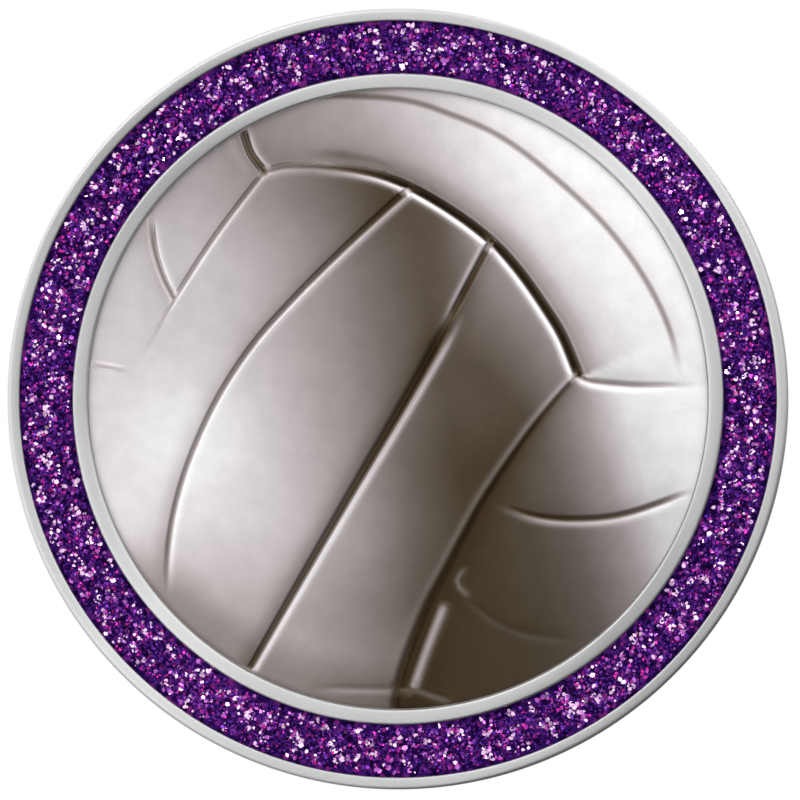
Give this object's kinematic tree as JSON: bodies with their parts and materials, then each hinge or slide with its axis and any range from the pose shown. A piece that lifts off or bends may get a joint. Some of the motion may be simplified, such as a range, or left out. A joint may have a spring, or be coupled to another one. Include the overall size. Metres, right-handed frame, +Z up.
{
  "type": "pin-back emblem badge",
  "caption": "Round satin-silver emblem with a purple glitter band around a volleyball relief, held to cloth by posts and butterfly clutches.",
  "frame": {"origin": "centre of the emblem's flat back face, which lies against the cloth", "axes": "-Y out of the face, +Y out of the back along the posts, +Z up the emblem, +X to the right seen from the front"},
  "size_m": [0.0508, 0.0125, 0.0508],
  "materials": {
    "satin_silver": "satin",
    "antique_silver": "satin",
    "purple_glitter": "gloss",
    "adhesive": "matte",
    "plated_steel": "polished",
    "plated_brass": "satin",
    "spring_wire": "satin"
  },
  "bodies": {
    "emblem": {"badge_tray": "satin_silver", "glitter_band": "purple_glitter", "bezel_ring": "satin_silver", "medallion_adhesive": "adhesive", "volleyball_medallion": "antique_silver", "left_post": "plated_steel", "right_post": "plated_steel"},
    "left_clutch": {"left_clutch_cup": "plated_brass", "left_clutch_cover": "plated_brass", "left_clutch_spring": "spring_wire"},
    "left_wing_outer": {"left_wing_outer": "plated_brass"},
    "left_wing_inner": {"left_wing_inner": "plated_brass"},
    "right_clutch": {"right_clutch_cup": "plated_brass", "right_clutch_cover": "plated_brass", "right_clutch_spring": "spring_wire"},
    "right_wing_outer": {"right_wing_outer": "plated_brass"},
    "right_wing_inner": {"right_wing_inner": "plated_brass"}
  },
  "joints": [
    {"name": "left_clutch_slide", "type": "slide", "parent": "emblem", "child": "left_clutch", "axis": [0, 1, 0], "range_m": [0, 0.012], "deforming": ["left_clutch_spring"]},
    {"name": "left_wing_outer_hinge", "type": "hinge", "parent": "left_clutch", "child": "left_wing_outer", "pos_m": [-0.0176, 0.00375, 0.007], "axis": [0, 0, -1], "range_deg": [0, 15], "stiffness_Nm_per_rad": 0.005},
    {"name": "left_wing_inner_hinge", "type": "hinge", "parent": "left_clutch", "child": "left_wing_inner", "pos_m": [-0.0124, 0.00375, 0.007], "axis": [0, 0, 1], "range_deg": [0, 15]},
    {"name": "right_clutch_slide", "type": "slide", "parent": "emblem", "child": "right_clutch", "axis": [0, 1, 0], "range_m": [0, 0.012], "deforming": ["right_clutch_spring"]},
    {"name": "right_wing_outer_hinge", "type": "hinge", "parent": "right_clutch", "child": "right_wing_outer", "pos_m": [0.0176, 0.00375, 0.007], "axis": [0, 0, 1], "range_deg": [0, 15], "stiffness_Nm_per_rad": 0.005},
    {"name": "right_wing_inner_hinge", "type": "hinge", "parent": "right_clutch", "child": "right_wing_inner", "pos_m": [0.0124, 0.00375, 0.007], "axis": [0, 0, -1], "range_deg": [0, 15]}
  ],
  "couplings": [
    {"joint": "left_wing_inner_hinge", "follows": "left_wing_outer_hinge", "ratio": 1},
    {"joint": "right_wing_inner_hinge", "follows": "right_wing_outer_hinge", "ratio": 1}
  ]
}
